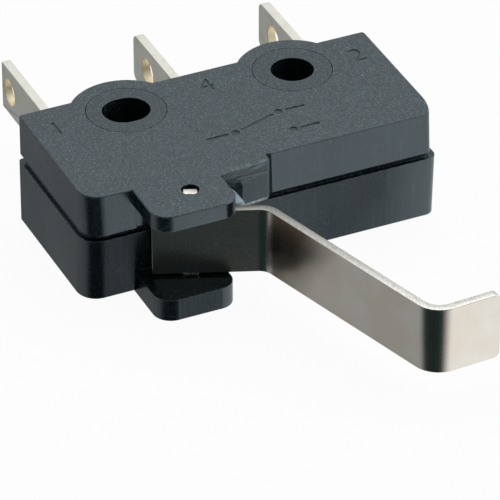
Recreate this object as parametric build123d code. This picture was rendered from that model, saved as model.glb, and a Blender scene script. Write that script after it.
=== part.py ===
from build123d import *
from math import atan, cos, degrees, radians, sin, tan
import os

# Lengths are in millimetres. X runs along the case, +Y out of the back towards the blades' tips, +Z up through the
# thickness. The origin lies on the axis of the round mounting hole, at the lower face.

# Case halves
case_thickness = 6.4
cover_depth = 2.45
left_end_margin = 2.59
right_end_margin = 2.37
cover_inset = 0.06
front_depth = 6.98
cover_front_step = 0.07
back_depth = 1.9
floor_thickness = 1.0
roof_thickness = 1.0
front_wall = 0.88
back_wall = 0.9
side_wall = 0.94
front_corner_radius = 1.1
base_corner_radius = 0.5
cover_corner_radius = 0.25
back_corner_radius = 0.2
sweep_radius = 3.4
sweep_depth = 1.63
base_draft = 0.2
cover_draft = 0.16
bottom_edge_chamfer = 0.06
top_edge_chamfer = 0.06
groove_height = 0.27
groove_depth = 0.25
groove_chamfer = 0.16

# Mounting holes and the tubes round them
hole_pitch = 9.5
hole_diameter = 2.3
slot_travel = 0.28
tube_wall = 0.95
bulge_wall = 0.9
tube_gap = 0.04

# Hinge ears
ear_inset = 2.62
ear_width = 4.64
ear_margin = 1.97
lower_ear_thickness = 1.25
upper_ear_thickness = 0.9
lower_ear_side_inset = 0.15
lower_ear_front_inset = 0.05
ear_left_radius = 1.0
ear_right_radius = 0.9

# Lever strip
pivot_inset = 2.69
pivot_reach = 1.24
lever_sheet = 0.5
lower_lever_gap = 0.15
upper_lever_gap = 0.3
lever_rest_angle = 21.6
stop_gap = 0.2
flat_reach = 3.95
slope_length = 12.42
slope_turn = 51.8
tip_length = 3.67
tip_turn = 76.6
first_bend_radius = 1.05
second_bend_radius = 1.25
lug_length = 0.76
lug_recess = 0.3
lug_clearance = 0.02
lever_corner_radius = 0.35
lever_edge_chamfer = 0.05

# Plunger and its pad on the cover
plunger_offset = 0.5
plunger_width = 0.9
plunger_margin = 0.1
plunger_clearance = 0.08
tip_gap = 0.03
flange_width = 2.0
flange_thickness = 0.55
flange_gap = 0.05
nose_width = 0.9
nose_height = 1.2
pad_width = 2.91
pad_left_reach = 0.65
pad_right_reach = 0.36
pad_chamfer = 0.16
relief_depth = 0.3
relief_side = 0.29
relief_rise = 0.67
left_pad_step = 0.13

# Blades
blade_sheet = 0.5
blade_height = 2.8
blade_tube_gap = 0.4
common_tip_y = 9.85
open_tip_y = 9.5
closed_tip_y = 9.68
eyelet_diameter = 1.52
common_eyelet_margin = 0.98
eyelet_margin = 1.87
blade_corner_radius = 0.45
common_corner_radius = 0.12
slot_clearance = 0.03
block_width = 1.6
block_depth = 2.5
lock_width = 0.7
lock_depth = 0.4
inner_height = 2.4
bend_radius = 0.6

# Contacts
contact_offset = 1.3
contact_diameter = 1.3
contact_head = 0.3
shank_diameter = 0.7
shank_clearance = 0.02
contact_clearance = 0.02
contact_gap = 0.46
contact_overlap = 0.7
arm_depth = 1.98

# Contact arm
arm_sheet = 0.2
arm_height = 2.4
arm_end_margin = 0.75
window_start = 1.9
window_end = 1.9
window_height = 1.5
window_corner_radius = 0.3
knife_chamfer = 0.08
notch_depth = 0.2
notch_clearance = 0.05

# Auxiliary lever
auxiliary_depth = 1.45
auxiliary_sheet = 0.3
auxiliary_height = 1.3
auxiliary_overhang = 1.58
post_offset = 1.35
post_sheet = 0.4
post_gap = 0.05
hook_gap = 0.1
hook_length = 0.4
foot_gap = 0.1

# Tension spring
coil_radius = 0.5
wire_diameter = 0.18
spoke_diameter = 0.19
wire_sides = 6
coil_pitch = 0.45
loop_radius = 0.42
loop_slack = 0.08
eye_diameter = 0.5

# Heights that follow
parting_height = case_thickness - cover_depth
shoulder_height = parting_height - groove_height
middle_height = case_thickness / 2
blade_low = middle_height - blade_height / 2
blade_high = middle_height + blade_height / 2
inner_low = middle_height - inner_height / 2
inner_high = middle_height + inner_height / 2
lever_low = lower_ear_thickness + lower_lever_gap
lever_high = case_thickness - upper_ear_thickness - upper_lever_gap
plunger_low = floor_thickness + plunger_margin
plunger_high = case_thickness - roof_thickness - plunger_margin

# Places along the case that follow, from the round hole at 0
tube_radius = hole_diameter / 2 + tube_wall
bulge_radius = tube_radius + bulge_wall
hole_places = (-hole_pitch, 0)
blade_to_hole = tube_radius + blade_tube_gap + blade_sheet / 2
common_x = -hole_pitch - blade_to_hole
open_x = -hole_pitch / 2
closed_x = blade_to_hole
blade_places = (common_x, open_x, closed_x)
base_left_x = common_x - left_end_margin
base_right_x = closed_x + right_end_margin
cover_left_x = base_left_x + cover_inset
cover_right_x = base_right_x - cover_inset
ear_left_x = base_left_x + ear_inset
ear_right_x = ear_left_x + ear_width
pivot_x = ear_left_x + pivot_inset
plunger_x = ear_right_x + plunger_offset
pad_right_x = ear_right_x + pad_width
contact_x = closed_x - contact_offset
arm_end_x = contact_x + arm_end_margin
window_left_x = common_x + window_start
window_right_x = contact_x - window_end
auxiliary_end_x = plunger_x + auxiliary_overhang
post_x = common_x + post_offset

# Places across the case that follow
base_front_y = -front_depth
case_back_y = back_depth
cover_front_y = base_front_y - cover_front_step
sweep_y = base_front_y + sweep_depth
chamber_front_y = base_front_y + front_wall
chamber_back_y = case_back_y - back_wall
block_front_y = chamber_back_y - block_depth
lock_y = chamber_back_y - block_depth / 2
pivot_y = base_front_y - pivot_reach
ear_front_y = pivot_y - ear_margin
arm_y = chamber_front_y + arm_depth
auxiliary_y = chamber_front_y + auxiliary_depth
contact_reach = arm_sheet / 2 + contact_head + contact_gap / 2 + contact_clearance
closed_face_y = arm_y - contact_reach
open_face_y = arm_y + contact_reach
closed_arm_y = closed_face_y - contact_head - blade_sheet / 2
open_arm_y = open_face_y + contact_head + blade_sheet / 2

# Fits and angles that follow
pivot_hole_diameter = (lug_length**2 + lever_sheet**2) ** 0.5 + 2 * lug_clearance
rest_angle = radians(lever_rest_angle)
arm_pivot_x = common_x + blade_sheet / 2 - notch_depth + notch_clearance * 2**0.5
arm_tilt = degrees(atan(contact_gap / 2 / (contact_x - arm_pivot_x)))


def block(x_low, x_high, y_low, y_high, z_low, z_high):
    """A box between opposite corners."""
    middle = ((x_low + x_high) / 2, (y_low + y_high) / 2, (z_low + z_high) / 2)
    return Pos(*middle) * Box(x_high - x_low, y_high - y_low, z_high - z_low)


def upright(sketch, low, high):
    """A plan outline raised from one height to another."""
    return extrude(Pos(0, 0, low) * sketch, high - low)


def strip(points, radii, sheet, low, high):
    """Sheet bent along a plan path, with a radius at each inner point."""
    path = FilletPolyline(*points, radius=radii)
    return upright(trace(path, sheet), low, high)


def along_y(sketch, start_y, end_y):
    """An outline drawn in X and Z, carried from one Y to another."""
    placed = Plane(origin=(0, start_y, 0), x_dir=(-1, 0, 0), z_dir=(0, 1, 0)) * sketch
    return extrude(placed, end_y - start_y)


def along_x(sketch, start_x, end_x):
    """An outline drawn in Y and Z, carried from one X to another."""
    placed = Plane(origin=(start_x, 0, 0), x_dir=(0, 1, 0), z_dir=(1, 0, 0)) * sketch
    return extrude(placed, end_x - start_x)


def drafted_block(left_x, right_x, low_front_y, high_front_y, back_y, low, high):
    """A block with rounded back corners, whose front leans with the draft of the mould."""
    corners = [(low_front_y, low), (back_y, low), (back_y, high), (high_front_y, high)]
    body = along_x(make_face(Polyline(*corners, close=True)), left_x, right_x)
    return fillet(body.edges().filter_by(Axis.Z).group_by(Axis.Y)[-1], back_corner_radius)


def front_edge(body, end):
    """The upright edge at one end of a body's front face: 0 for the left end, -1 for the right end."""
    return body.faces().sort_by(Axis.Y)[0].edges().sort_by(Axis.X)[end]


def bulges(radius, low, high):
    """The round parts of the case behind the mounting holes."""
    return upright(Sketch() + [Pos(x, 0) * Circle(radius) for x in hole_places], low, high)


def blade_block(x, low, high):
    """The thick part of the back wall that grips one blade."""
    return block(x - block_width / 2, x + block_width / 2, block_front_y, chamber_back_y, low, high)


def chamber(low, high):
    """The hollow that both halves share, clear of the tubes and the blade blocks."""
    left_x = cover_left_x + side_wall
    right_x = cover_right_x - side_wall
    hollow = block(left_x, right_x, chamber_front_y, chamber_back_y, low, high)
    for x in hole_places:
        hollow -= upright(Pos(x, 0) * Circle(tube_radius), low, high)
    for x in blade_places:
        hollow -= blade_block(x, low, high)
    return hollow


def ear(side_inset, front_inset, low, high):
    """One hinge ear, rooted in the front wall, smaller by an inset at its sides and one at its front."""
    left_x = ear_left_x + side_inset
    right_x = ear_right_x - side_inset
    front_y = ear_front_y + front_inset
    root_y = base_front_y + front_wall / 2
    middle = ((left_x + right_x) / 2, (front_y + root_y) / 2)
    outline = Pos(*middle) * Rectangle(right_x - left_x, root_y - front_y)
    left_corner = outline.vertices().sort_by_distance((left_x, front_y, 0))[0]
    outline = fillet(left_corner, ear_left_radius)
    right_corner = outline.vertices().sort_by_distance((right_x, front_y, 0))[0]
    outline = fillet(right_corner, ear_right_radius)
    return upright(outline, low, high)


def pivot_hole():
    """Cutter for the pivot hole through both ears."""
    return upright(Pos(pivot_x, pivot_y) * Circle(pivot_hole_diameter / 2), 0, case_thickness)


def plunger_section(side_margin, end_margin):
    """The plunger's section in X and Z, grown by a margin at its sides and one at its ends."""
    width = plunger_width + 2 * side_margin
    height = plunger_high - plunger_low + 2 * end_margin
    return Pos(-plunger_x, (plunger_low + plunger_high) / 2) * Rot(0, 0, 90) * SlotOverall(height, width)


def plunger_passage():
    """Cutter for the plunger's way through the front wall."""
    section = plunger_section(plunger_clearance, plunger_clearance)
    return along_y(section, cover_front_y - 2 * pad_left_reach, chamber_front_y + flange_gap)


def blade_slots(low, high):
    """Cutters for the slots that hold the three blades."""
    cutters = []
    half = blade_sheet / 2 + slot_clearance
    for x in blade_places:
        cutters.append(block(x - half, x + half, block_front_y - half, case_back_y + half, low, high))
    return cutters


def lock_ribs():
    """Ribs in the slots that lock the blades by their lower notches."""
    ribs = []
    half = blade_sheet / 2 + 2 * slot_clearance
    front_y = lock_y - lock_width / 2
    back_y = lock_y + lock_width / 2
    low = blade_low - 2 * slot_clearance
    for x in blade_places:
        ribs.append(block(x - half, x + half, front_y, back_y, low, blade_low + lock_depth))
    return ribs


def mounting_holes():
    """Cutters for the round right hole and the slotted left hole."""
    left_x, right_x = hole_places
    round_hole = Pos(right_x, 0) * Circle(hole_diameter / 2)
    slotted_hole = Pos(left_x, 0) * SlotOverall(hole_diameter + slot_travel, hole_diameter)
    return upright(round_hole + slotted_hole, 0, case_thickness)


def base_rim():
    """The upper edge of the base, set back to leave a groove under the cover."""
    front_y = base_front_y + groove_depth
    back_y = case_back_y - groove_depth
    left_x = base_left_x + groove_depth
    right_x = base_right_x - groove_depth
    body = drafted_block(left_x, right_x, front_y, front_y, back_y, shoulder_height, parting_height)
    body = fillet(front_edge(body, 0), front_corner_radius)
    body = fillet(front_edge(body, -1), base_corner_radius)
    return body + bulges(bulge_radius - groove_depth, shoulder_height, parting_height)


def base_case():
    """Lower half, with the tubes that pass through the cover."""
    low_front_y = base_front_y + base_draft
    body = drafted_block(base_left_x, base_right_x, low_front_y, base_front_y, case_back_y, 0, shoulder_height)
    body = fillet(front_edge(body, 0), front_corner_radius)
    body = fillet(front_edge(body, -1), base_corner_radius)
    body += bulges(bulge_radius, 0, shoulder_height)
    body = chamfer(body.faces().sort_by(Axis.Z)[0].edges(), bottom_edge_chamfer)
    body += base_rim()
    body += ear(lower_ear_side_inset, lower_ear_front_inset, 0, lower_ear_thickness)
    body -= chamber(floor_thickness, parting_height)
    for x in hole_places:
        body += upright(Pos(x, 0) * Circle(tube_radius), 0, case_thickness)
    for cutter in blade_slots(blade_low - slot_clearance, parting_height):
        body -= cutter
    for rib in lock_ribs():
        body += rib
    body -= plunger_passage()
    body -= pivot_hole()
    body -= mounting_holes()
    return body


def corner_sweep():
    """Cutter that leaves the large curve at the right front corner of the cover, leaning like its front."""
    middle_x = cover_right_x - sweep_radius
    corner = block(middle_x + sweep_radius / 2, base_right_x, -front_depth, 0, -cover_depth, 2 * cover_depth)
    corner -= upright(Pos(middle_x, 0) * Circle(sweep_radius), -cover_depth, 2 * cover_depth)
    lean = degrees(atan(cover_draft / cover_depth))
    return Pos(0, sweep_y, parting_height) * Rot(-lean, 0, 0) * corner


def left_pad():
    """The slightly prouder front of the cover, left of the ears."""
    low_front_y = cover_front_y - left_pad_step
    back_y = cover_front_y + front_wall / 2 + front_corner_radius
    body = drafted_block(cover_left_x, ear_left_x + groove_chamfer, low_front_y, low_front_y + cover_draft, back_y,
                         parting_height, case_thickness)
    body = fillet(front_edge(body, 0), front_corner_radius)
    return chamfer(body.faces().sort_by(Axis.Z)[0].edges(), groove_chamfer)


def plunger_pad():
    """The raised pad beside the plunger, with a chamfered right end and an arched relief."""
    back_y = cover_front_y + front_wall / 2
    corners = [
        (ear_right_x - ear_right_radius, back_y),
        (ear_right_x - ear_right_radius, cover_front_y - pad_left_reach),
        (ear_right_x, cover_front_y - pad_left_reach),
        (pad_right_x - pad_chamfer, cover_front_y - pad_right_reach),
        (pad_right_x, cover_front_y - pad_right_reach + pad_chamfer),
        (pad_right_x, back_y),
    ]
    return upright(make_face(Polyline(*corners, close=True)), parting_height + groove_chamfer / 2, case_thickness)


def plunger_relief():
    """Cutter for the arch over the plunger, at the front of the pad."""
    arch = plunger_section(relief_side, relief_rise)
    return along_y(arch, cover_front_y - pad_left_reach, cover_front_y - pad_left_reach + relief_depth)


def cover():
    """Upper half, which drops over the tubes."""
    high_front_y = cover_front_y + cover_draft
    body = drafted_block(cover_left_x, cover_right_x, cover_front_y, high_front_y, case_back_y,
                         parting_height, case_thickness)
    body -= corner_sweep()
    body = fillet(front_edge(body, -1), cover_corner_radius)
    body = fillet(front_edge(body, 0), front_corner_radius)
    body += bulges(bulge_radius, parting_height, case_thickness)
    body = chamfer(body.faces().sort_by(Axis.Z)[0].edges(), groove_chamfer)
    body += left_pad()
    body += plunger_pad()
    body += ear(0, 0, case_thickness - upper_ear_thickness, case_thickness)
    body = chamfer(body.faces().sort_by(Axis.Z)[-1].outer_wire().edges(), top_edge_chamfer)
    body -= chamber(parting_height, case_thickness - roof_thickness)
    for x in hole_places:
        body -= upright(Pos(x, 0) * Circle(tube_radius + tube_gap), parting_height, case_thickness)
    for cutter in blade_slots(parting_height, blade_high + slot_clearance):
        body -= cutter
    body -= plunger_passage()
    body -= plunger_relief()
    body -= pivot_hole()
    return body


def lever_frame():
    """Directions along the flat part of the lever: to the right, and back towards the case."""
    along = Vector(cos(rest_angle), -sin(rest_angle), 0)
    back = Vector(sin(rest_angle), cos(rest_angle), 0)
    return along, back


def lever_points():
    """Centre line of the strip, from its tail to its tip."""
    pivot = Vector(pivot_x, pivot_y, 0)
    along, back = lever_frame()
    stop_depth = cover_front_y - pivot_y - stop_gap - back.Y * lever_sheet / 2
    tail = pivot - along * (stop_depth / sin(rest_angle))
    first_bend = pivot + along * flat_reach
    slope = along.rotate(Axis.Z, -slope_turn)
    second_bend = first_bend + slope * slope_length
    tip = second_bend + slope.rotate(Axis.Z, tip_turn) * tip_length
    return tail, first_bend, second_bend, tip


def actuator_lever():
    """Bent strip with a hinge lug on each edge, in the plane of its flat part."""
    points = lever_points()
    body = strip(points, (first_bend_radius, second_bend_radius), lever_sheet, lever_low, lever_high)
    tip_corners = body.edges().filter_by(lambda edge: abs(edge.length - lever_sheet) < 0.001)
    tip_corners = tip_corners.sort_by_distance(points[3])[0:2]
    body = fillet(tip_corners, lever_corner_radius)
    rims = body.faces().sort_by(Axis.Z)[-1].edges() + body.faces().sort_by(Axis.Z)[0].edges()
    body = chamfer(rims.filter_by(lambda edge: edge.length > 2 * lever_sheet), lever_edge_chamfer)
    lug = Box(lug_length, lever_sheet, case_thickness - 2 * lug_recess)
    return body + Pos(pivot_x, pivot_y, middle_height) * Rot(0, 0, -lever_rest_angle) * lug


def plunger():
    """Pin with a domed tip, a flange that keeps it in, and a narrow nose inside."""
    tip_radius = plunger_width / 2
    touch = (lever_sheet / 2 + tip_radius + tip_gap) / cos(rest_angle)
    tip_y = pivot_y + touch - (plunger_x - pivot_x) * tan(rest_angle)
    flange_front_y = chamber_front_y + flange_gap
    flange_back_y = flange_front_y + flange_thickness
    nose_y = auxiliary_y - auxiliary_sheet / 2 - contact_clearance - nose_width / 2
    nose_low = middle_height - nose_height / 2
    nose_high = middle_height + nose_height / 2
    body = along_y(plunger_section(0, 0), tip_y, flange_back_y)
    dome = upright(Pos(plunger_x, tip_y) * Circle(tip_radius), plunger_low, plunger_high)
    body += dome & along_y(plunger_section(0, 0), tip_y - tip_radius, tip_y + tip_radius)
    body += block(plunger_x - flange_width / 2, plunger_x + flange_width / 2, flange_front_y, flange_back_y,
                  plunger_low + tip_radius, plunger_high - tip_radius)
    body += block(plunger_x - nose_width / 2, plunger_x + nose_width / 2, flange_front_y, nose_y, nose_low, nose_high)
    return body + upright(Pos(plunger_x, nose_y) * Circle(nose_width / 2), nose_low, nose_high)


def blade(x, tip_y, corner_radius, eyelet_inset):
    """The straight part of a terminal, with its eyelet, rounded tip and locking notch."""
    outline = Pos((tip_y + block_front_y) / 2, middle_height) * Rectangle(tip_y - block_front_y, blade_height)
    outline = fillet(outline.vertices().group_by(Axis.X)[-1], corner_radius)
    outline -= Pos(tip_y - eyelet_inset, middle_height) * Circle(eyelet_diameter / 2)
    notch = Rectangle(lock_width + 2 * slot_clearance, lock_depth + slot_clearance, align=(Align.CENTER, Align.MIN))
    outline -= Pos(lock_y, blade_low) * notch
    return along_x(outline, x - blade_sheet / 2, x + blade_sheet / 2)


def bent_foot(points):
    """The narrower bent part of a terminal, inside the chamber."""
    return strip(points, [bend_radius], blade_sheet, inner_low, inner_high)


def shank_passage(face_y):
    """Cutter for a contact's shank, through the terminal arm centred on a Y."""
    circle = Pos(-contact_x, middle_height) * Circle(shank_diameter / 2 + shank_clearance)
    return along_y(circle, face_y - blade_sheet, face_y + blade_sheet)


def common_terminal():
    """Left blade, with the notch that the contact arm rocks in and the post that the auxiliary lever hooks over."""
    auxiliary_front_y = auxiliary_y - auxiliary_sheet / 2
    foot_y = auxiliary_front_y - hook_length - foot_gap - blade_sheet / 2
    body = blade(common_x, common_tip_y, common_corner_radius, common_eyelet_margin)
    body += bent_foot([(common_x, block_front_y), (common_x, foot_y), (post_x, foot_y)])
    body += block(post_x - post_sheet / 2, post_x + post_sheet / 2, foot_y - blade_sheet / 2,
                  auxiliary_front_y - post_gap, inner_low, inner_high)
    notch_side = notch_depth * 2**0.5
    notch = Pos(common_x + blade_sheet / 2, arm_y) * Rot(0, 0, 45) * Rectangle(notch_side, notch_side)
    return body - upright(notch, inner_low, inner_high)


def normally_open_terminal():
    """Middle blade, bent to the right behind the contact arm."""
    end_x = contact_x + contact_overlap
    body = blade(open_x, open_tip_y, blade_corner_radius, eyelet_margin)
    body += bent_foot([(open_x, block_front_y), (open_x, open_arm_y), (end_x, open_arm_y)])
    return body - shank_passage(open_arm_y)


def normally_closed_terminal():
    """Right blade, bent to the left in front of the contact arm."""
    end_x = contact_x - contact_overlap
    body = blade(closed_x, closed_tip_y, blade_corner_radius, eyelet_margin)
    body += bent_foot([(closed_x, block_front_y), (closed_x, closed_arm_y), (end_x, closed_arm_y)])
    return body - shank_passage(closed_arm_y)


def fixed_contact(face_y, towards):
    """Rivet with its head on a terminal arm; towards is +1 where its shank runs to +Y and -1 to -Y."""
    seat_y = face_y + towards * contact_head
    end_y = seat_y + towards * (blade_sheet + contact_head / 2)
    place = Pos(-contact_x, middle_height)
    head = along_y(place * Circle(contact_diameter / 2), min(face_y, seat_y), max(face_y, seat_y))
    shank = along_y(place * Circle(shank_diameter / 2), min(seat_y, end_y), max(seat_y, end_y))
    return head + shank


def arm_place(x):
    """Frame on the contact arm's middle plane at an X, with its own X along the arm at rest."""
    return Pos(arm_pivot_x, arm_y, middle_height) * Rot(0, 0, -arm_tilt) * Pos(x - arm_pivot_x, 0, 0)


def through_arm(x, diameter):
    """Cutter for a round hole through the contact arm."""
    return arm_place(x) * Rot(90, 0, 0) * Cylinder(diameter / 2, 2 * arm_sheet)


def arm_eye_x():
    """X of the eye for the spring's loop, past the window's end."""
    return window_right_x - wire_diameter / 2 - loop_slack + 2 * loop_radius


def contact_arm():
    """Thin window frame with a knife edge on the left and room for the moving contact on the right."""
    length = arm_end_x - arm_pivot_x
    plate = Box(length, arm_sheet, arm_height)
    knife = plate.edges().filter_by(Axis.Z).group_by(Axis.X)[0]
    plate = arm_place(arm_pivot_x + length / 2) * chamfer(knife, knife_chamfer)
    window = Box(window_right_x - window_left_x, 2 * arm_sheet, window_height)
    window = fillet(window.edges().filter_by(Axis.Y), window_corner_radius)
    plate -= arm_place((window_left_x + window_right_x) / 2) * window
    return plate - through_arm(arm_eye_x(), eye_diameter) - through_arm(contact_x, shank_diameter + 2 * shank_clearance)


def moving_contact():
    """Double-headed rivet through the contact arm."""
    seat = (arm_sheet + contact_head) / 2
    head = Cylinder(contact_diameter / 2, contact_head)
    rivet = Cylinder(shank_diameter / 2, arm_sheet) + Pos(0, 0, seat) * head + Pos(0, 0, -seat) * head
    return arm_place(contact_x) * Rot(90, 0, 0) * rivet


def auxiliary_lever():
    """Small lever hooked over the common terminal's post, with an eye for the spring at its free end."""
    low = middle_height - auxiliary_height / 2
    high = middle_height + auxiliary_height / 2
    front_y = auxiliary_y - auxiliary_sheet / 2
    back_y = auxiliary_y + auxiliary_sheet / 2
    hook_x = post_x - post_sheet / 2 - hook_gap
    body = block(hook_x - auxiliary_sheet, auxiliary_end_x, front_y, back_y, low, high)
    body += block(hook_x - auxiliary_sheet, hook_x, front_y - hook_length, auxiliary_y, low, high)
    eye_x = auxiliary_end_x + wire_diameter / 2 + loop_slack - 2 * loop_radius
    eye = Pos(eye_x, auxiliary_y, middle_height) * Rot(90, 0, 0) * Cylinder(eye_diameter / 2, 2 * auxiliary_sheet)
    return body - eye


def wire_loop():
    """Ring of wire at an end of the spring, lying across X."""
    section = Plane.XZ * Pos(loop_radius, 0) * RegularPolygon(wire_diameter / 2, wire_sides)
    return Rot(0, 90, 0) * revolve(section, Axis.Z)


def tension_spring():
    """Coil with a loop at each end, from the auxiliary lever's eye to the contact arm's."""
    left = Vector(auxiliary_end_x + wire_diameter / 2 + loop_slack - loop_radius, auxiliary_y, middle_height)
    right = arm_place(arm_eye_x() - loop_radius).position
    span = right - left
    coil_length = span.length - 2 * loop_radius
    path = Helix(pitch=coil_pitch, height=coil_length, radius=coil_radius)
    section = Plane(origin=path @ 0, z_dir=path % 0) * RegularPolygon(wire_diameter / 2, wire_sides)
    body = sweep(section, path, is_frenet=True)
    for end, loop_height in ((path @ 0, -loop_radius), (path @ 1, coil_length + loop_radius)):
        inward = Vector(-end.X, -end.Y, 0)
        start = end - inward.normalized() * wire_diameter / 2
        length = inward.length + wire_diameter / 2
        spoke = Cylinder(spoke_diameter / 2, length, align=(Align.CENTER, Align.CENTER, Align.MIN))
        body += Plane(origin=start, z_dir=inward).location * spoke
        body += Pos(0, 0, loop_height) * wire_loop()
    axis = Plane(origin=left, x_dir=(0, 0, 1), z_dir=span)
    return axis.location * Pos(0, 0, loop_radius) * body


pieces = {
    "base_case": base_case(),
    "cover": cover(),
    "actuator_lever": actuator_lever(),
    "plunger": plunger(),
    "common_terminal": common_terminal(),
    "normally_open_terminal": normally_open_terminal(),
    "normally_closed_terminal": normally_closed_terminal(),
    "normally_open_contact": fixed_contact(open_face_y, 1),
    "normally_closed_contact": fixed_contact(closed_face_y, -1),
    "contact_arm": contact_arm(),
    "moving_contact": moving_contact(),
    "auxiliary_lever": auxiliary_lever(),
    "tension_spring": tension_spring(),
}

os.makedirs("parts", exist_ok=True)
for name, shape in pieces.items():
    export_step(shape, "parts/" + name + ".step")
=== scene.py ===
import math
import bmesh
import bpy
import numpy as np
from mathutils import Matrix, Vector


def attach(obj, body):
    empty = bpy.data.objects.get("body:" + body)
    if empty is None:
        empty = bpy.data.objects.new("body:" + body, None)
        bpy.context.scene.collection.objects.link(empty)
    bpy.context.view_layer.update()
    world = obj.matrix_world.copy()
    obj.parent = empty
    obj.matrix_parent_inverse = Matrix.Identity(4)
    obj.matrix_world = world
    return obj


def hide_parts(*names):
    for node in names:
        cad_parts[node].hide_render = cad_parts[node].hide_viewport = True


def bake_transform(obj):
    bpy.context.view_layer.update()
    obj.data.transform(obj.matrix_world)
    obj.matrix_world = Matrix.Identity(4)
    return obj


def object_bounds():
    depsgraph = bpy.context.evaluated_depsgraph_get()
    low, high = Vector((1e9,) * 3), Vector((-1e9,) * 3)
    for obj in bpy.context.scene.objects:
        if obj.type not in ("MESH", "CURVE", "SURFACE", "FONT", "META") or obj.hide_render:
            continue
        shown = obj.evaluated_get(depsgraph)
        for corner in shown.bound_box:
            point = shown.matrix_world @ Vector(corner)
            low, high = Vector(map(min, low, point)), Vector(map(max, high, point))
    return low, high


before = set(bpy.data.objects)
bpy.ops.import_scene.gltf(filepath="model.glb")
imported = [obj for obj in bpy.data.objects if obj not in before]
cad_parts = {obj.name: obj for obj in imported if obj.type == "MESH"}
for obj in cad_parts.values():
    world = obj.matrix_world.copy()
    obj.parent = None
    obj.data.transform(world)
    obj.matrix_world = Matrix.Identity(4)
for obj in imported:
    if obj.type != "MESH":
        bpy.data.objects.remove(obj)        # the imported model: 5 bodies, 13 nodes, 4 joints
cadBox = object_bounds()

mm = 0.001
print("frame loaded:", len(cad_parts), "nodes")


def setSocket(tree, socket, value):
    # links another node's socket, or sets a number, a vector or a colour
    if isinstance(value, bpy.types.NodeSocket):
        tree.links.new(value, socket)
    else:
        socket.default_value = value


def putNode(tree, kind, settings=None, **inputs):
    # one shader node; i0, i1 and so on name an input by its number
    node = tree.nodes.new("ShaderNode" + kind)
    for key, value in (settings or {}).items():
        setattr(node, key, value)
    for key, value in inputs.items():
        byNumber = key[0] == "i" and key[1:].isdigit()
        setSocket(tree, node.inputs[int(key[1:]) if byNumber else key], value)
    return node


def doMath(tree, operation, *values):
    # a Math node's result
    node = tree.nodes.new("ShaderNodeMath")
    node.operation = operation
    for socket, value in zip(node.inputs, values):
        setSocket(tree, socket, value)
    return node.outputs[0]


def times(tree, first, *others):
    # all the values multiplied together
    for other in others:
        first = doMath(tree, "MULTIPLY", first, other)
    return first


def plus(tree, first, *others):
    # all the values added up
    for other in others:
        first = doMath(tree, "ADD", first, other)
    return first


def lengthOf(tree, first, second):
    # sqrt(first ** 2 + second ** 2)
    return doMath(tree, "SQRT", plus(tree, times(tree, first, first), times(tree, second, second)))


def mixColour(tree, amount, first, second, blend="MIX"):
    # blends two colours by an amount from 0 to 1
    node = tree.nodes.new("ShaderNodeMix")
    node.data_type = "RGBA"
    node.blend_type = blend
    for number, value in ((0, amount), (6, first), (7, second)):
        setSocket(tree, node.inputs[number], (*value, 1.0) if isinstance(value, tuple) else value)
    return node.outputs[2]


def scaled(colour, factor):
    # a paler or darker colour, held under full white
    return tuple(min(1.0, factor * channel) for channel in colour)


def remap(tree, value, low, high, toLow=0.0, toHigh=1.0):
    # a value's range moved to another, held at its ends
    node = putNode(tree, "MapRange", {"clamp": True}, Value=value)
    for key, number in (("From Min", low), ("From Max", high), ("To Min", toLow), ("To Max", toHigh)):
        node.inputs[key].default_value = number
    return node.outputs["Result"]


def bandOf(tree, value, low, high, softness):
    # 1 between two values, falling to 0 over a soft distance outside them
    return times(tree, remap(tree, value, low - softness, low), remap(tree, value, high + softness, high))


def splitOf(tree, vector):
    # a vector's three numbers
    return putNode(tree, "SeparateXYZ", Vector=vector).outputs


def facingUp(tree, low, high):
    # 0 on sides, rising to 1 on faces that look up or down
    normal = splitOf(tree, tree.nodes.new("ShaderNodeTexCoord").outputs["Normal"])
    return remap(tree, doMath(tree, "ABSOLUTE", normal[2]), low, high)


def newMaterial(name):
    # an empty material with a Principled shader wired to its output
    material = bpy.data.materials.new(name)
    material.use_nodes = True
    tree = material.node_tree
    tree.nodes.clear()
    output = tree.nodes.new("ShaderNodeOutputMaterial")
    shader = tree.nodes.new("ShaderNodeBsdfPrincipled")
    tree.links.new(shader.outputs[0], output.inputs[0])
    place = tree.nodes.new("ShaderNodeTexCoord").outputs["Object"]
    return material, tree, shader, place


def wireShader(tree, shader, colour, roughness, height, strength, depthMm):
    # a finish's colour, roughness and relief linked to its shader; the bump node is returned
    tree.links.new(colour, shader.inputs["Base Color"])
    tree.links.new(roughness, shader.inputs["Roughness"])
    bump = putNode(tree, "Bump", Strength=strength, Distance=depthMm * mm, Height=height)
    tree.links.new(bump.outputs[0], shader.inputs["Normal"])
    return bump


def noiseOf(tree, place, sizeMm, detail=3.0, roughness=0.5, stretch=None):
    # fractal noise whose largest cells are sizeMm across; stretch scales the axes first
    if stretch:
        place = putNode(tree, "Mapping", Vector=place, Scale=stretch).outputs[0]
    node = putNode(tree, "TexNoise", Vector=place, Scale=1.0 / (sizeMm * mm), Detail=detail,
                   Roughness=roughness)
    return node.outputs[0]


def cellNoise(tree, place, detail, roughness):
    # fractal noise with one cell per unit of a place that is already scaled
    return putNode(tree, "TexNoise", Vector=place, Scale=1.0, Detail=detail, Roughness=roughness).outputs[0]


def roundedNormal(tree, radiusMm):
    # the surface's normal, turned as if its edges had a small radius
    return putNode(tree, "Bevel", {"samples": 4}, Radius=radiusMm * mm).outputs[0]


def edgeMask(tree, radiusMm):
    # 0 on open faces, rising to 1 where the surface turns within the radius
    dot = tree.nodes.new("ShaderNodeVectorMath")
    dot.operation = "DOT_PRODUCT"
    tree.links.new(roundedNormal(tree, radiusMm), dot.inputs[0])
    tree.links.new(tree.nodes.new("ShaderNodeNewGeometry").outputs["Normal"], dot.inputs[1])
    return remap(tree, dot.outputs["Value"], 1.0, 0.8)


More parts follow.
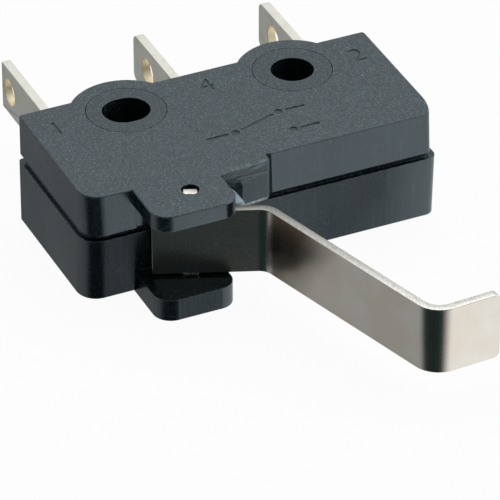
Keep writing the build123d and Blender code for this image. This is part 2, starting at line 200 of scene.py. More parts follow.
def assign(objects, material):
    for obj in objects:
        obj.data.materials.clear()
        obj.data.materials.append(material)


cameraSettings = {
    "azimuth": -24.532,
    "elevation": 33.998,
    "roll": -0.116,
    "distanceMm": 272.394,
    "targetMm": (-5.127, -5.856, 0.0),
    "lensMm": 377.306,
    "sensorMm": 36.0,
    "clipStartMm": 10.0,
}


def makeCamera():
    # the camera stands at target + distance * backwards, and its own X and Y are turned by the roll
    azimuth, elevation, roll = (math.radians(cameraSettings[key]) for key in ("azimuth", "elevation", "roll"))
    backwards = Vector((math.sin(azimuth) * math.cos(elevation), -math.cos(azimuth) * math.cos(elevation),
                        math.sin(elevation)))
    right = (-backwards).cross(Vector((0, 0, 1))).normalized()
    up = right.cross(-backwards)
    xAxis = math.cos(roll) * right + math.sin(roll) * up
    yAxis = -math.sin(roll) * right + math.cos(roll) * up
    data = bpy.data.cameras.new("camera")
    data.lens = cameraSettings["lensMm"]
    data.sensor_width = cameraSettings["sensorMm"]
    data.sensor_fit = "HORIZONTAL"
    data.clip_start = cameraSettings["clipStartMm"] * mm
    camera = bpy.data.objects.new("camera", data)
    bpy.context.scene.collection.objects.link(camera)
    place = Vector(cameraSettings["targetMm"]) * mm + backwards * cameraSettings["distanceMm"] * mm
    camera.matrix_world = Matrix((xAxis, yAxis, backwards)).transposed().to_4x4()
    camera.location = place
    bpy.context.scene.camera = camera


studio = {
    "floorColour": (0.85, 0.85, 0.85),
    "floorWhiteShare": 0.95,      # how much of the camera's floor is plain white
    "floorHalfWidth": 4.0,        # metres
    "floorDropMm": 0.02,          # how far the floor lies under the part
    # the room's level by azimuth from +X, in degrees: below the horizon, where upright faces mirror it
    "lowLevels": ((0, 1.0), (60, 0.80), (98, 0.25), (125, 0.25), (140, 0.38), (170, 0.38), (190, 0.01),
                  (259, 0.01), (273, 0.44), (292, 1.15), (350, 1.1), (360, 1.0)),
    # and above it, where faces that look up mirror it
    "highLevels": ((0, 0.80), (30, 0.60), (150, 0.60), (172, 0.08), (282, 0.08), (304, 0.85), (360, 0.80)),
    "horizonBlend": 0.08,         # the two blend where a direction's Z is between minus and plus this
    "darkColour": (0.006, 0.016, 0.017),      # what the dark side of the room still gives
    "softboxes": (
        # name, direction azimuth from +X, elevation, distance mm, size mm, watts, colour
        ("topSoftbox", 50.0, 66.0, 260.0, 170.0, 0.17, (1.0, 1.0, 1.0)),
        ("rightSoftbox", -20.0, 32.0, 260.0, 150.0, 0.07, (1.0, 1.0, 1.0)),
    ),
}


def makeFloor():
    # a paper that is nearly plain white to the camera and lit as paper for everything else
    span, drop = studio["floorHalfWidth"], studio["floorDropMm"] * mm
    mesh = bpy.data.meshes.new("floor")
    corners = [(-span, -span, -drop), (span, -span, -drop), (span, span, -drop), (-span, span, -drop)]
    mesh.from_pydata(corners, [], [(0, 1, 2, 3)])
    floor = bpy.data.objects.new("floor", mesh)
    bpy.context.scene.collection.objects.link(floor)
    material = bpy.data.materials.new("floorPaper")
    material.use_nodes = True
    tree = material.node_tree
    tree.nodes.clear()
    path = tree.nodes.new("ShaderNodeLightPath")
    paper = putNode(tree, "BsdfDiffuse", Color=(*studio["floorColour"], 1.0))
    white = putNode(tree, "Emission", Color=(1.0, 1.0, 1.0, 1.0), Strength=1.0)
    share = times(tree, path.outputs["Is Camera Ray"], studio["floorWhiteShare"])
    mixed = putNode(tree, "MixShader", i0=share, i1=paper.outputs[0], i2=white.outputs[0])
    output = tree.nodes.new("ShaderNodeOutputMaterial")
    tree.links.new(mixed.outputs[0], output.inputs[0])
    mesh.materials.append(material)
    floor.visible_glossy = False     # metal and gloss mirror the room instead of the paper


def levelRamp(tree, turn, levels):
    # a level for each azimuth, with turn running from 0 to 1 round the horizon
    node = putNode(tree, "ValToRGB", Fac=turn)
    elements = node.color_ramp.elements
    while len(elements) < len(levels):
        elements.new(0.5)
    for element, (degrees, level) in zip(elements, levels):
        element.position = degrees / 360.0
        element.color = (level, level, level, 1.0)
    return node.outputs[0]


def makeWorld():
    # azimuth = arctan2(y, x) of the direction; two ramps blend into each other across the horizon
    world = bpy.data.worlds.new("studioWorld")
    world.use_nodes = True
    tree = world.node_tree
    tree.nodes.clear()
    path = tree.nodes.new("ShaderNodeLightPath")
    x, y, z = splitOf(tree, tree.nodes.new("ShaderNodeTexCoord").outputs["Generated"])
    turns = doMath(tree, "DIVIDE", doMath(tree, "ARCTAN2", y, x), 2 * math.pi)
    turn = doMath(tree, "FRACT", plus(tree, turns, 1.0))
    low = levelRamp(tree, turn, studio["lowLevels"])
    high = levelRamp(tree, turn, studio["highLevels"])
    level = mixColour(tree, remap(tree, z, -studio["horizonBlend"], studio["horizonBlend"]), low, high)
    level = mixColour(tree, 1.0, level, studio["darkColour"], "ADD")
    seen = mixColour(tree, path.outputs["Is Camera Ray"], level, (1.0, 1.0, 1.0))
    background = putNode(tree, "Background", Color=seen, Strength=1.0)
    output = tree.nodes.new("ShaderNodeOutputWorld")
    tree.links.new(background.outputs[0], output.inputs[0])
    bpy.context.scene.world = world


def makeLights():
    # square softboxes that look at the middle of the part
    middle = (Vector(cadBox[0]) + Vector(cadBox[1])) / 2
    for name, azimuth, elevation, distance, size, watts, colour in studio["softboxes"]:
        data = bpy.data.lights.new(name, "AREA")
        data.shape = "SQUARE"
        data.size = size * mm
        data.energy = watts
        data.color = colour
        lamp = bpy.data.objects.new(name, data)
        bpy.context.scene.collection.objects.link(lamp)
        turn, rise = math.radians(azimuth), math.radians(elevation)
        towards = Vector((math.cos(turn) * math.cos(rise), math.sin(turn) * math.cos(rise), math.sin(rise)))
        lamp.location = middle + towards * distance * mm
        lamp.rotation_euler = towards.to_track_quat("Z", "Y").to_euler()


makeCamera()
makeFloor()
makeWorld()
makeLights()
bpy.context.scene.view_settings.view_transform = "Standard"
print("camera, floor and lights placed")


# both halves; a noise's first two numbers are its values where it starts to show and where it shows fully,
# and a third and a fourth are what it gives there
caseLook = {
    "paleColour": (0.125, 0.160, 0.178),      # rubbed edges and grain tops
    "pitAndShadeColour": (0.004, 0.007, 0.009),       # between the grains; also painted shade in the band at the pad's right end and on the sunk marks' floors
    "specularTint": (0.745, 0.905, 1.0),
    "flatSlant": (0.6, 0.9),      # from a side to a flat, by how far its normal looks up or down
    "lowerFlatMm": (0.4, 0.2),    # Z from smooth to grained; ledges between the outer flats are smooth and darker, the darkness being painted shade
    "upperFlatMm": (4.4, 4.8),
    "grainMm": 0.088,
    "coarseTimes": 2.6,           # the coarse grain's size in grains
    "cloudMm": 1.6,
    "fleckMm": 0.09,
    "drawMm": 0.22,               # width of the upright draw lines
    "drawStretch": (1.0, 1.0, 0.06),
    "scuffMm": 0.07,              # height of the scuffs that run level round the sides
    "scuffStretch": (0.10, 0.10, 1.0),
    "sinkMm": 7.0,
    "cloudBand": (0.35, 0.65),
    "cloudShades": (0.82, 1.22),  # times the half's own colour
    "topsBand": (0.51, 0.64),
    "topsOnSides": 0.03,
    "pitBand": (0.48, 0.36),
    "pitShares": (0.10, 0.9),     # on the sides and on the flats, here and in the next two
    "drawShares": (0.14, 0.0),
    "fleckShares": (0.35, 0.7),
    "drawBand": (0.48, 0.72),
    "scuffBand": (0.62, 0.72),
    "scuffClouds": (0.45, 0.60, 0.0, 0.45),
    "fleckBand": (0.68, 0.76),
    "fleckShade": 2.0,            # times the pale colour, here and in the next
    "wearAndGlintShade": 1.5,
    "wearAndGlintBand": (0.38, 0.66, 0.05, 0.95),
    "wearMm": 0.09,
    "edgeRadiusMm": 0.05,
    "sideRoughness": 0.21,
    "flatRoughness": 0.46,
    "grainRoughness": (0.3, 0.7, -0.07, 0.09),
    "grainDepthMm": 0.028,        # the heights below are in this depth
    "grainHeight": 0.8,
    "coarseHeight": 0.5,
    "sideRelief": 0.24,           # how much of the grain's relief the sides keep
    "drawHeight": 0.5,
    "scuffHeight": -0.6,
    "sinkHeight": 14.0,
    "reliefStrength": 0.6,
}


def byFace(tree, flat, onSides, onFlats):
    # one value on the sides and another on the grained flats
    return remap(tree, flat, 0.0, 1.0, onSides, onFlats)


def startPlastic(name, look):
    # dark moulded plastic: eroded grain on the outer flats, smoother sides with draw lines and level scuffs,
    # soft clouds, pale flecks, worn edges that are partly a painted edge highlight, and shallow sink marks
    # that bend the reflections on the sides; ledges are darker as painted shade
    material, tree, shader, place = newMaterial(name)
    x, y, z = splitOf(tree, place)
    upperFlat, lowerFlat = (remap(tree, z, start * mm, end * mm)
                            for start, end in (caseLook["upperFlatMm"], caseLook["lowerFlatMm"]))
    flat = times(tree, facingUp(tree, *caseLook["flatSlant"]), plus(tree, upperFlat, lowerFlat))
    grain = noiseOf(tree, place, caseLook["grainMm"], 3.0, 0.7)
    coarse = noiseOf(tree, place, caseLook["grainMm"] * caseLook["coarseTimes"], 2.0, 0.55)
    cloud = noiseOf(tree, place, caseLook["cloudMm"])
    fleck = noiseOf(tree, place, caseLook["fleckMm"], 1.0)
    draw = noiseOf(tree, place, caseLook["drawMm"], 3.0, 0.6, caseLook["drawStretch"])
    scuff = noiseOf(tree, place, caseLook["scuffMm"], 2.0, 0.6, caseLook["scuffStretch"])
    sink = noiseOf(tree, place, caseLook["sinkMm"], 1.0, 0.4)
    tops = times(tree, remap(tree, grain, *caseLook["topsBand"]),
                 byFace(tree, flat, caseLook["topsOnSides"], look["topsOnFlats"]))
    pits = times(tree, remap(tree, grain, *caseLook["pitBand"]), byFace(tree, flat, *caseLook["pitShares"]))
    lines = times(tree, remap(tree, draw, *caseLook["drawBand"]), byFace(tree, flat, *caseLook["drawShares"]))
    scuffs = times(tree, remap(tree, scuff, *caseLook["scuffBand"]), byFace(tree, flat, 1.0, 0.0),
                   remap(tree, cloud, *caseLook["scuffClouds"]))
    flecks = times(tree, remap(tree, fleck, *caseLook["fleckBand"]),
                   byFace(tree, flat, *caseLook["fleckShares"]))
    # the pale worn edges are partly wear and partly a painted edge highlight
    wear = times(tree, edgeMask(tree, caseLook["wearMm"]), remap(tree, coarse, *caseLook["wearAndGlintBand"]))
    dark, light = (scaled(look["colour"], shade) for shade in caseLook["cloudShades"])
    pale = caseLook["paleColour"]
    colour = mixColour(tree, remap(tree, cloud, *caseLook["cloudBand"]), dark, light)
    layers = ((tops, pale), (pits, caseLook["pitAndShadeColour"]), (lines, pale), (scuffs, pale),
              (flecks, scaled(pale, caseLook["fleckShade"])), (wear, scaled(pale, caseLook["wearAndGlintShade"])))
    for share, layer in layers:
        colour = mixColour(tree, share, colour, layer)
    rough = plus(tree, byFace(tree, flat, caseLook["sideRoughness"], caseLook["flatRoughness"]),
                 remap(tree, grain, *caseLook["grainRoughness"]))
    relief = plus(tree, times(tree, grain, caseLook["grainHeight"]),
                  times(tree, coarse, caseLook["coarseHeight"]))
    height = plus(tree, times(tree, relief, byFace(tree, flat, caseLook["sideRelief"], 1.0)),
                  times(tree, lines, caseLook["drawHeight"]), times(tree, scuffs, caseLook["scuffHeight"]),
                  times(tree, sink, byFace(tree, flat, caseLook["sinkHeight"], 0.0)))
    return {"material": material, "tree": tree, "shader": shader, "place": (x, y, z), "flat": flat,
            "coarse": coarse, "colour": colour, "rough": rough, "height": height}


def endPlastic(mould, refraction):
    # the layers wired to the shader, over slightly rounded edges
    tree, shader = mould["tree"], mould["shader"]
    bump = wireShader(tree, shader, mould["colour"], mould["rough"], mould["height"],
                      caseLook["reliefStrength"], caseLook["grainDepthMm"])
    tree.links.new(roundedNormal(tree, caseLook["edgeRadiusMm"]), bump.inputs["Normal"])
    shader.inputs["IOR"].default_value = refraction
    shader.inputs["Specular Tint"].default_value = (*caseLook["specularTint"], 1.0)
    return mould["material"]


baseLook = {
    "colour": (0.005, 0.009, 0.010),
    "refraction": 1.80,
    "topsOnFlats": 0.7,           # how much the pale grain tops show on the flats
    "bowMm": (-14.8, 2.1, 4.8),   # the front leans evenly up to the second X and is straight from the third
    "bowSlope": 10.4,             # in grain depths per mm
    "earLeftMm": -12.0,
    "cornerLeanMm": 0.9,          # how much more it leans, in all, left of the ear
}


def makeBasePlastic():
    # the lower half's front bows a little, so its sheen fades from the right end to the middle:
    # height = -slope * (turn ** 2 / 2 * width of the turn + length of the lean + the corner's lean)
    mould = startPlastic("basePlastic", baseLook)
    tree, x = mould["tree"], mould["place"][0]
    left, bend, right = baseLook["bowMm"]
    turn = remap(tree, x, bend * mm, right * mm, 1.0, 0.0)
    lean = remap(tree, x, left * mm, bend * mm, bend - left, 0.0)
    corner = remap(tree, x, left * mm, baseLook["earLeftMm"] * mm, baseLook["cornerLeanMm"], 0.0)
    bow = plus(tree, times(tree, turn, turn, (right - bend) / 2), lean, corner)
    bow = times(tree, bow, -baseLook["bowSlope"], byFace(tree, mould["flat"], 1.0, 0.0))
    mould["height"] = plus(tree, mould["height"], bow)
    return endPlastic(mould, baseLook["refraction"])


coverLook = {
    "colour": (0.006, 0.011, 0.014),
    "refraction": 1.84,
    "topsOnFlats": 0.95,
    "padMm": (-7.6, -4.67),          # X of the pad's two ends
    "padFrontMm": (-7.21, -7.25),    # Y from just behind the pad's face to it
    "padSoftMm": 0.03,
    "fanCentreMm": (-7.55, 5.75),    # X and Z that the flow lines fan out from
    "fanCells": (9.0, 0.7),          # per radian round that point, and per mm away from it
    "fanAboveMm": (5.3, 5.7),        # Z over which the flow lines come in
    "fanBand": (0.42, 0.68, 0.0, 0.8),
    "fanHeight": 2.2,                # in grain depths
    "highlightMm": (-6.35, -4.95, 3.98, 4.16),     # the painted highlight, a pale patch on the pad's lower edge: from X, to X, from Z, to Z
    "highlightSoftMm": (0.12, 0.05),
    "highlightBand": (0.3, 0.6, 0.35, 1.0),
    "highlightColour": (0.62, 0.62, 0.60),
    "frontMm": (-6.5, -6.6),         # Y over which the painted shade band and the dip come in
    "seamMm": 0.12,                  # half the width of the painted shade band at the pad's right end
    "shadeBandSoftMm": 0.05,
    "shadeBandShare": 0.85,
    "dipMm": (-0.04, 0.28),          # the dip beside the pad starts and ends this far from the pad's end
    "dipHeight": 13.0,               # in grain depths
    "padHeight": 36.0,               # how much the pad's face leans over its length, in grain depths
    "sunkFloorMm": (6.30, 6.33, 6.37, 6.39),     # Z round the floor of the sunk marks
    "sunkShadeShare": 0.85,
}


def padFlowLines(mould, onPad):
    # flow lines that fan out over the upper part of the pad's face
    tree = mould["tree"]
    x, y, z = mould["place"]
    offX = doMath(tree, "SUBTRACT", x, coverLook["fanCentreMm"][0] * mm)
    offZ = doMath(tree, "SUBTRACT", z, coverLook["fanCentreMm"][1] * mm)
    perRadian, perMm = coverLook["fanCells"]
    polar = putNode(tree, "CombineXYZ", X=times(tree, doMath(tree, "ARCTAN2", offZ, offX), perRadian),
                    Y=times(tree, lengthOf(tree, offX, offZ), perMm / mm))
    upper = remap(tree, z, *(edge * mm for edge in coverLook["fanAboveMm"]))
    flow = cellNoise(tree, polar.outputs[0], 2.0, 0.5)
    streaks = times(tree, onPad, upper, remap(tree, flow, *coverLook["fanBand"]))
    mould["colour"] = mixColour(tree, streaks, mould["colour"], caseLook["paleColour"])
    mould["height"] = plus(tree, mould["height"], times(tree, streaks, coverLook["fanHeight"]))


def padHighlight(mould, onPad):
    # a painted highlight: a pale patch on the pad's lower edge
    tree = mould["tree"]
    x, y, z = mould["place"]
    left, right, bottom, top = (edge * mm for edge in coverLook["highlightMm"])
    softX, softZ = coverLook["highlightSoftMm"]
    patch = times(tree, bandOf(tree, x, left, right, softX * mm), bandOf(tree, z, bottom, top, softZ * mm))
    # painted highlight, patchy by the coarse grain
    rub = times(tree, patch, onPad, remap(tree, mould["coarse"], *coverLook["highlightBand"]))
    mould["colour"] = mixColour(tree, rub, mould["colour"], coverLook["highlightColour"])


def padShadeAndDip(mould, padLeft, padRight):
    # painted shade in a dark band at the pad's right end; the front dips towards it and the pad leans, so
    # both turn darker
    tree = mould["tree"]
    x, y, z = mould["place"]
    behind, before = (edge * mm for edge in coverLook["frontMm"])
    front = times(tree, remap(tree, y, behind, before), byFace(tree, mould["flat"], 1.0, 0.0))
    half, soft = coverLook["seamMm"] * mm, coverLook["shadeBandSoftMm"] * mm
    seam = times(tree, bandOf(tree, x, padRight - half, padRight + half, soft), front, coverLook["shadeBandShare"])
    mould["colour"] = mixColour(tree, seam, mould["colour"], caseLook["pitAndShadeColour"])
    dipStart, dipEnd = (padRight + edge * mm for edge in coverLook["dipMm"])
    dip = plus(tree, remap(tree, x, dipStart, dipEnd, 0.0, coverLook["dipHeight"]),
               remap(tree, x, padLeft, dipStart, 0.0, coverLook["padHeight"]))
    mould["height"] = plus(tree, mould["height"], times(tree, dip, front))


def shadeSunkFloor(mould):
    # painted shade: the floors of the marks that are sunk into the top are darker
    tree = mould["tree"]
    bottom, floorLow, floorHigh, top = (level * mm for level in coverLook["sunkFloorMm"])
    z = mould["place"][2]
    sunk = times(tree, remap(tree, z, top, floorHigh), remap(tree, z, bottom, floorLow), mould["flat"],
                 coverLook["sunkShadeShare"])
    mould["colour"] = mixColour(tree, sunk, mould["colour"], caseLook["pitAndShadeColour"])


def makeCoverPlastic():
    # the upper half's plastic, with what its pad and its top have, painted shade and a painted highlight
    # among them
    mould = startPlastic("coverPlastic", coverLook)
    tree = mould["tree"]
    x, y, z = mould["place"]
    padLeft, padRight = (end * mm for end in coverLook["padMm"])
    behind, face = (edge * mm for edge in coverLook["padFrontMm"])
    onPad = times(tree, remap(tree, y, behind, face),
                  bandOf(tree, x, padLeft, padRight, coverLook["padSoftMm"] * mm))
    padFlowLines(mould, onPad)
    padHighlight(mould, onPad)
    padShadeAndDip(mould, padLeft, padRight)
    shadeSunkFloor(mould)
    return endPlastic(mould, coverLook["refraction"])


assign([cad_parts["base_case"]], makeBasePlastic())
coverPlastic = makeCoverPlastic()
assign([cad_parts["cover"]], coverPlastic)
print("case halves finished")


leverShape = {
    "pivotMm": (-9.53, -8.22),
    "restAngle": 21.6,            # degrees
    "tailMm": 2.003,              # from the pivot back to the tail
    "flatMm": 3.95,
    "slopeMm": 12.42,
    "tipMm": 3.67,
    "turns": (-51.8, 76.6),
    "bendRadiiMm": (1.05, 1.25),
    "arcPoints": 24,              # in each bend
    "thicknessMm": 0.5,
    "lowMm": 1.4,
    "highMm": 5.2,
    "cornerMm": 0.35,
    "cornerStations": 6,
    "edgeMm": 0.055,
    "edgeStations": (0, 0.1, 0.25, 0.45, 0.7, 1.0),     # in edge radii from each end
    "lugMm": (0.76, 0.485),       # length along the strip, thickness
    "lugEdgeMm": 0.04,
    "lugHeightsMm": ((0.3, 1.6), (5.0, 6.28)),     # each lug's ends; both start inside the strip
    "stepMm": 0.12,
    "sharpDegrees": 40.0,
}


def leverCentreLine():
    # four points joined by straight runs, each corner rounded by an arc tangent to both runs
    shape = leverShape
    angle = -math.radians(shape["restAngle"])
    heading = np.array([math.cos(angle), math.sin(angle)])
    start = np.array(shape["pivotMm"]) - heading * shape["tailMm"]
    runs = (shape["tailMm"] + shape["flatMm"], shape["slopeMm"], shape["tipMm"])
    turns = [math.radians(turn) for turn in shape["turns"]]
    cuts = [radius * math.tan(abs(turn) / 2) for radius, turn in zip(shape["bendRadiiMm"], turns)]
    places, headings = [], []
    for index, run in enumerate(runs):
        before = cuts[index - 1] if index else 0.0
        after = cuts[index] if index < len(cuts) else 0.0
        steps = np.linspace(before, run - after, max(2, int((run - before - after) / shape["stepMm"])))
        places.append(start + steps[:, None] * [math.cos(angle), math.sin(angle)])
        headings.append(np.full(len(steps), angle))
        if index < len(cuts):
            turn, radius = turns[index], shape["bendRadiiMm"][index]
            side = math.copysign(1.0, turn)
            last = places[-1][-1]
            centre = last + side * radius * np.array([-math.sin(angle), math.cos(angle)])
            sweep = angle + turn * np.linspace(0, 1, shape["arcPoints"] + 2)[1:-1]
            places.append(centre + side * radius * np.stack([np.sin(sweep), -np.cos(sweep)], 1))
            headings.append(sweep)
            start = start + run * np.array([math.cos(angle), math.sin(angle)])
            angle += turn
    return np.concatenate(places), np.concatenate(headings)


def roundedSection(halfWide, halfThick, radius, perCorner=5):
    # rounded rectangle per station: corner centres at (half - radius), plus radius times the unit circle
    quarter = np.linspace(0, math.pi / 2, perCorner)
    turn = np.concatenate([quarter + k * math.pi / 2 for k in range(4)])
    diagonals = np.repeat([math.pi / 4 + k * math.pi / 2 for k in range(4)], perCorner)
    radius = np.minimum(radius, np.minimum(halfWide, halfThick) * 0.98)      # short of a sharp ridge
    wide = np.sign(np.cos(diagonals)) * (halfWide - radius)[:, None] + radius[:, None] * np.cos(turn)
    thick = np.sign(np.sin(diagonals)) * (halfThick - radius)[:, None] + radius[:, None] * np.sin(turn)
    return wide, thick


def gridMesh(name, points):
    # points is a grid (stations, round, 3) in mm; quads join neighbours, and each end is closed by one face
    stations, around = points.shape[:2]
    index = np.arange(stations * around).reshape(stations, around)
    after = np.roll(index, -1, axis=1)
    faces = np.stack([index[:-1], after[:-1], after[1:], index[1:]], -1).reshape(-1, 4).tolist()
    faces += [index[0][::-1].tolist(), index[-1].tolist()]
    mesh = bpy.data.meshes.new(name)
    mesh.from_pydata((points.reshape(-1, 3) * mm).tolist(), [], faces)
    mesh.update()
    obj = bpy.data.objects.new(name, mesh)
    bpy.context.scene.collection.objects.link(obj)
    return obj


def shadeSmooth(obj, sharpDegrees):
    # smooth shading with creases kept where faces meet more steeply
    bm = bmesh.new()
    bm.from_mesh(obj.data)
    bmesh.ops.recalc_face_normals(bm, faces=bm.faces)
    for face in bm.faces:
        face.smooth = True
    for edge in bm.edges:
        edge.smooth = len(edge.link_faces) == 2 and edge.calc_face_angle(0.0) < math.radians(sharpDegrees)
    bm.to_mesh(obj.data)
    bm.free()


weldMm = 0.0005      # corners closer than this are one corner


def mergedCopy(nodeName, pieceName, flatDegrees=0.0):
    # a copy of a CAD node with its loose triangles joined, and flat ones made one face
    bm = bmesh.new()
    bm.from_mesh(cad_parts[nodeName].data)
    bmesh.ops.remove_doubles(bm, verts=bm.verts, dist=weldMm * mm)
    if flatDegrees:
        bmesh.ops.dissolve_limit(bm, angle_limit=math.radians(flatDegrees), verts=bm.verts, edges=bm.edges)
    mesh = bpy.data.meshes.new(pieceName)
    bm.to_mesh(mesh)
    bm.free()
    piece = bpy.data.objects.new(pieceName, mesh)
    bpy.context.scene.collection.objects.link(piece)
    return piece


def cornerInset(distance, radius):
    # how far a round corner stands in from the straight side, at a distance from the end
    gap = np.clip(radius - distance, 0, radius)
    return radius - np.sqrt(radius ** 2 - gap ** 2)


def makeLever():
    # the rounded section carried along the centre line, narrowed at the tip by round corners and at both ends
    # by the edge's radius; its stations crowd together there
    shape = leverShape
    edge, corner = shape["edgeMm"], shape["cornerMm"]
    centre, heading = leverCentreLine()
    lengths = np.concatenate([[0], np.cumsum(np.linalg.norm(np.diff(centre, axis=0), axis=1))])
    total = lengths[-1]
    near = np.concatenate([np.array(shape["edgeStations"]) * edge,
                           np.linspace(edge, corner, shape["cornerStations"] + 1)[1:]])
    between = lengths[(lengths > near[-1]) & (lengths < total - near[-1])]
    stations = np.unique(np.concatenate([near, between, total - near]))
    x = np.interp(stations, lengths, centre[:, 0])[:, None]
    y = np.interp(stations, lengths, centre[:, 1])[:, None]
    angle = np.interp(stations, lengths, heading)[:, None]
    toEnd = total - stations
    halfWide = (shape["highMm"] - shape["lowMm"]) / 2 - cornerInset(toEnd, corner)
    halfWide -= cornerInset(stations, edge)
    halfThick = shape["thicknessMm"] / 2 - cornerInset(np.minimum(stations, toEnd), edge)
    wide, thick = roundedSection(halfWide, halfThick, np.full(len(stations), edge))
    middleZ = (shape["highMm"] + shape["lowMm"]) / 2
    points = np.stack([x - np.sin(angle) * thick, y + np.cos(angle) * thick, middleZ + wide], -1)
    lever = gridMesh("leverStrip", points)
    shadeSmooth(lever, shape["sharpDegrees"])
    # each point's place along and across the strip, in mm, for the finish
    uv = lever.data.uv_layers.new(name="alongStrip")
    loops = np.zeros(len(lever.data.loops), dtype=np.int64)
    lever.data.loops.foreach_get("vertex_index", loops)
    along = np.repeat(stations, points.shape[1])[loops]
    across = wide.reshape(-1)[loops]
    uv.data.foreach_set("uv", np.stack([along, across], 1).astype(np.float32).reshape(-1))
    return lever


def roundedBlock(name, halfSizes, edge, centre, turnZ, perEdge=4):
    # a block with round edges: stations along Z whose section shrinks by the edge's arc at both ends
    halfX, halfY, halfZ = halfSizes
    bend = np.linspace(0, math.pi / 2, perEdge)
    low = -halfZ + edge * (1 - np.sin(bend))[::-1]
    stations = np.concatenate([low, -low[::-1]])
    inset = cornerInset(halfZ - np.abs(stations), edge)
    wide, thick = roundedSection(halfX - inset, halfY - inset, np.full(len(stations), edge), perEdge)
    cosine, sine = math.cos(turnZ), math.sin(turnZ)
    x = centre[0] + cosine * wide - sine * thick
    y = centre[1] + sine * wide + cosine * thick
    z = np.broadcast_to(centre[2] + stations[:, None], wide.shape)
    block = gridMesh(name, np.stack([x, y, z], -1))
    shadeSmooth(block, leverShape["sharpDegrees"])
    return block


leverLook = {
    "colour": (0.675, 0.615, 0.54),
    "cleanColour": (0.70, 0.67, 0.615),       # patches with less haze
    "streakColour": (0.70, 0.66, 0.60),
    "cutColour": (0.84, 0.825, 0.775),        # rubbed and bright sheared edges
    "hingeShadeColour": (0.22, 0.225, 0.21),     # painted shade on the sheared edges near the hinge
    "tornColour": (0.16, 0.16, 0.15),
    "hingeShadeMm": (3.0, 16.0),     # along the strip, from the painted shade to the bright cut colour
    "shearedSlant": (0.7, 0.95),
    "tornTurn": 0.5,              # radians
    "tornPerMm": (15.0, 3.5, 0.5),
    "tornBand": (0.48, 0.64, 0.0, 0.32),
    # painted reflection of the dark case in the slope, tinted brown, in the next five
    "reflectedDarkColour": (0.115, 0.068, 0.030),
    "reflectedDarkMm": (6.3, 6.6, 7.8, 10.4),     # along the strip: comes in from, to, fades from, gone by
    "reflectedDarkSkew": 0.6,             # how much further it reaches along the upper edge
    "reflectedDarkStains": (0.2, 0.6, 0.75, 1.0),
    "reflectedDarkShare": 0.85,
    "roughness": 0.20,
    "streakRoughness": 0.10,
    "shearedRoughness": 0.12,
    "speckRoughness": (0.55, 0.8, 0.0, 0.03),
    "streakMm": 0.05,
    "streakPerMm": 0.35,          # cells along the strip
    "streakBand": (0.35, 0.75, 0.0, 0.25),
    "streakDepthMm": 0.0022,
    "stainMm": 2.2,
    "stainBand": (0.42, 0.60),
    "speckMm": 0.12,
    "speckHeight": 0.04,          # in streak depths
    "wearMm": 0.05,
    "wearShare": 0.5,
    "reliefStrength": 0.35,
    "lugAlongMm": 25.0,           # the lugs look like the strip there: bright, past the painted dark reflection
}


def rolledSteel():
    # nickel-bright rolled strip: fine rolling lines along the strip, faint stains, paler rubbed edges, a
    # painted dark reflection past the first bend
    material, tree, shader, place = newMaterial("rolledSteel")
    look = leverLook
    strip = putNode(tree, "UVMap", {"uv_map": "alongStrip"}).outputs[0]
    along, across, _ = splitOf(tree, strip)
    lines = putNode(tree, "Mapping", Vector=strip, Scale=(look["streakPerMm"], 1.0 / look["streakMm"], 1.0))
    streak = cellNoise(tree, lines.outputs[0], 3.0, 0.6)
    stain = noiseOf(tree, place, look["stainMm"], 4.0, 0.55)
    speck = noiseOf(tree, place, look["speckMm"], 2.0)
    colour = mixColour(tree, remap(tree, stain, *look["stainBand"]), look["cleanColour"], look["colour"])
    colour = mixColour(tree, remap(tree, streak, *look["streakBand"]), colour, look["streakColour"])
    worn = times(tree, edgeMask(tree, look["wearMm"]), look["wearShare"])
    colour = mixColour(tree, worn, colour, look["cutColour"])
    # painted reflection: a dark brown band just past the first bend, where the slope mirrors the dark case
    # and its shade, fading out along the slope
    comes, start, full, end = look["reflectedDarkMm"]
    skewed = doMath(tree, "SUBTRACT", along, times(tree, across, look["reflectedDarkSkew"]))
    reflectedDark = times(tree, remap(tree, along, comes, start), remap(tree, skewed, end, full),
                  remap(tree, stain, *look["reflectedDarkStains"]), look["reflectedDarkShare"])
    colour = mixColour(tree, reflectedDark, colour, look["reflectedDarkColour"])
    # the sheared edges: painted shade near the hinge, brighter towards the tip, with torn marks across
    sheared = facingUp(tree, *look["shearedSlant"])
    tornPlace = putNode(tree, "Mapping", Vector=place, Rotation=(0.0, 0.0, look["tornTurn"]),
                        Scale=[cells / mm for cells in look["tornPerMm"]])
    torn = cellNoise(tree, tornPlace.outputs[0], 2.0, 0.6)
    cut = mixColour(tree, remap(tree, along, *look["hingeShadeMm"]), look["hingeShadeColour"], look["cutColour"])
    cut = mixColour(tree, remap(tree, torn, *look["tornBand"]), cut, look["tornColour"])
    colour = mixColour(tree, sheared, colour, cut)
    rough = plus(tree, times(tree, streak, look["streakRoughness"]), look["roughness"],
                 times(tree, sheared, look["shearedRoughness"]), remap(tree, speck, *look["speckRoughness"]))
    height = plus(tree, streak, times(tree, speck, look["speckHeight"]))
    shader.inputs["Metallic"].default_value = 1.0
    wireShader(tree, shader, colour, rough, height, look["reliefStrength"], look["streakDepthMm"])
    return material


def makeLug(name, low, high):
    # a lug on the pivot, turned with the strip
    long, thick = leverShape["lugMm"]
    lug = roundedBlock(name, (long / 2, thick / 2, (high - low) / 2), leverShape["lugEdgeMm"],
                       (*leverShape["pivotMm"], (high + low) / 2), -math.radians(leverShape["restAngle"]))
    uv = lug.data.uv_layers.new(name="alongStrip")
    uv.data.foreach_set("uv", np.tile([leverLook["lugAlongMm"], 0.0], len(lug.data.loops)).astype(np.float32))
    return lug


leverPieces = [makeLever()]
for lugName, (lugLow, lugHigh) in zip(("lowerLug", "upperLug"), leverShape["lugHeightsMm"]):
    leverPieces.append(makeLug(lugName, lugLow, lugHigh))
assign(leverPieces, rolledSteel())
for piece in leverPieces:
    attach(piece, "lever")
    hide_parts("actuator_lever")
print("lever made")


